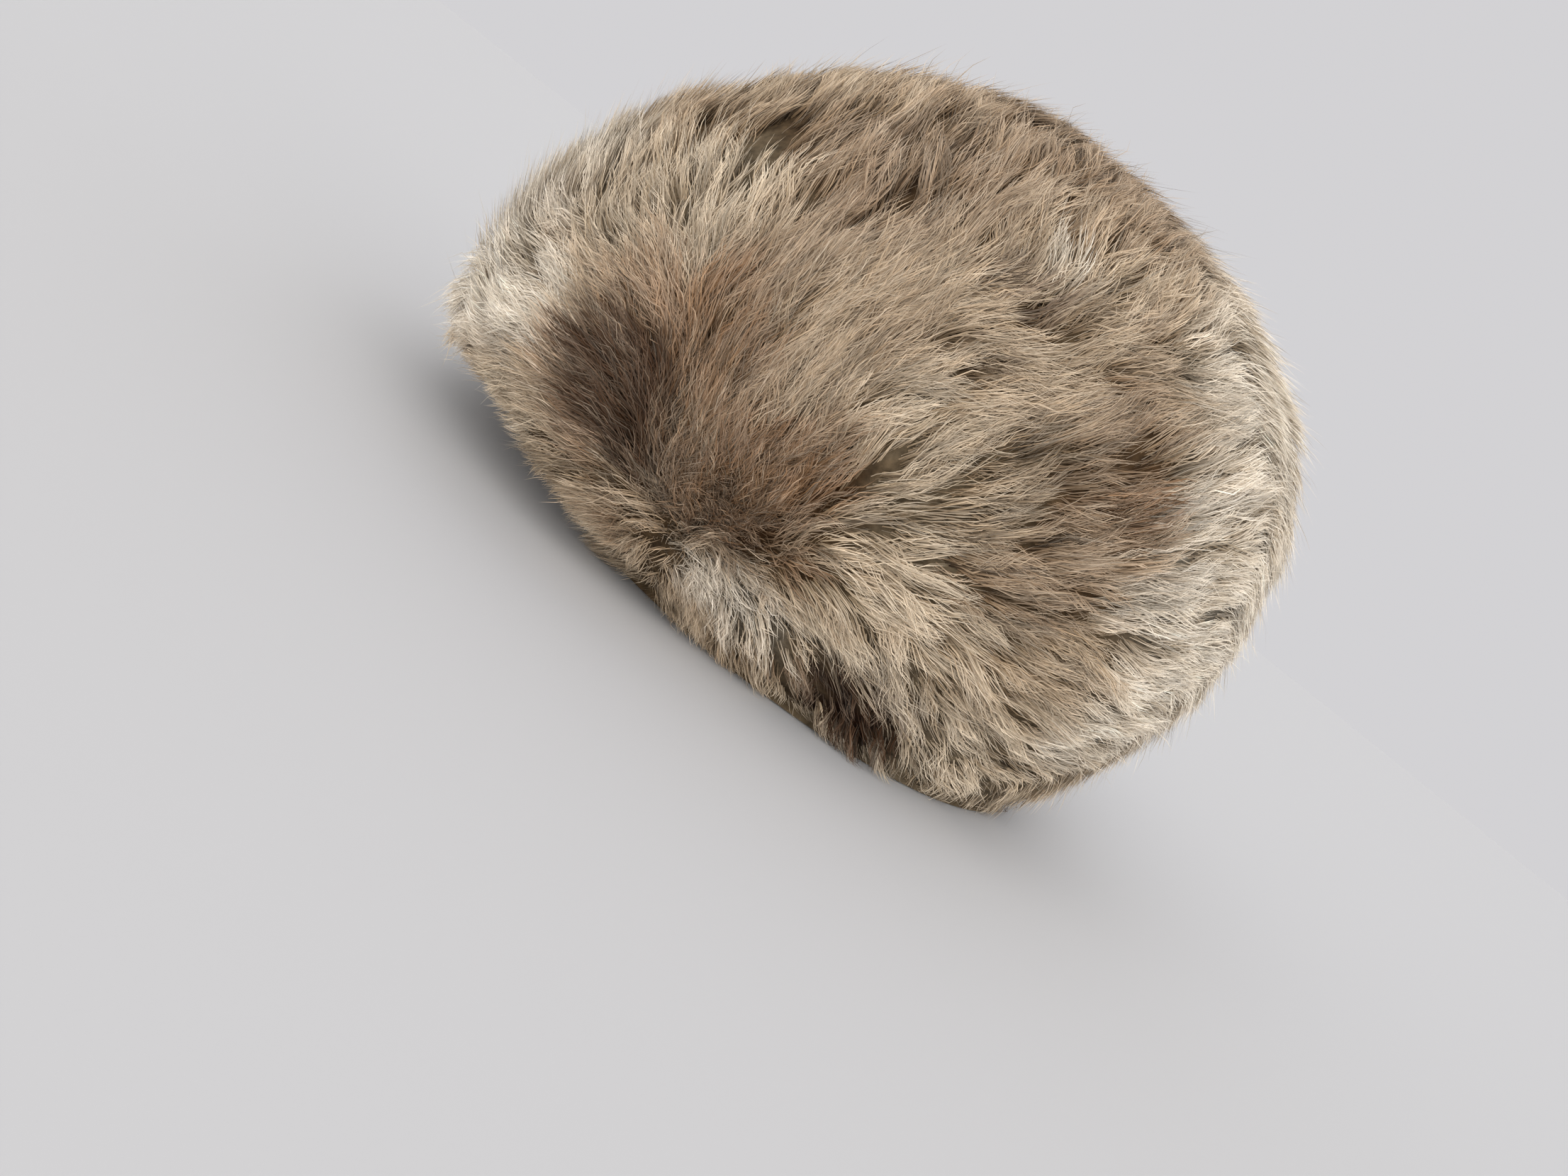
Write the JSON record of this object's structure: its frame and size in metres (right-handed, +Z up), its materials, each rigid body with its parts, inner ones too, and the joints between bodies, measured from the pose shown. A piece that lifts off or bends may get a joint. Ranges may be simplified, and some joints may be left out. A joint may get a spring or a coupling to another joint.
{
  "type": "sheepskin fur hat",
  "caption": "Rounded telpek-style sheepskin fur hat with arched side panels, a wide centre strip and a turned fur hem round an open head hollow.",
  "frame": {"origin": "middle of the hat's box in plan, on the plane that the rim rests on", "axes": "+Z up through the crown, -X towards the brow, -Y towards the wearer's left"},
  "size_m": [0.2994, 0.2678, 0.2048],
  "materials": {
    "side_fur": "long straight sheepskin pile, brown with grey-beige streaks",
    "crown_fur": "long straight sheepskin pile, beige with cream tips",
    "hem_fur": "fluffy turned fur edge, cream with dark brown patches"
  },
  "bodies": {
    "root": {"left_side_panel": "side_fur", "right_side_panel": "side_fur", "centre_strip": "crown_fur", "rim_hem": "hem_fur"}
  },
  "joints": []
}
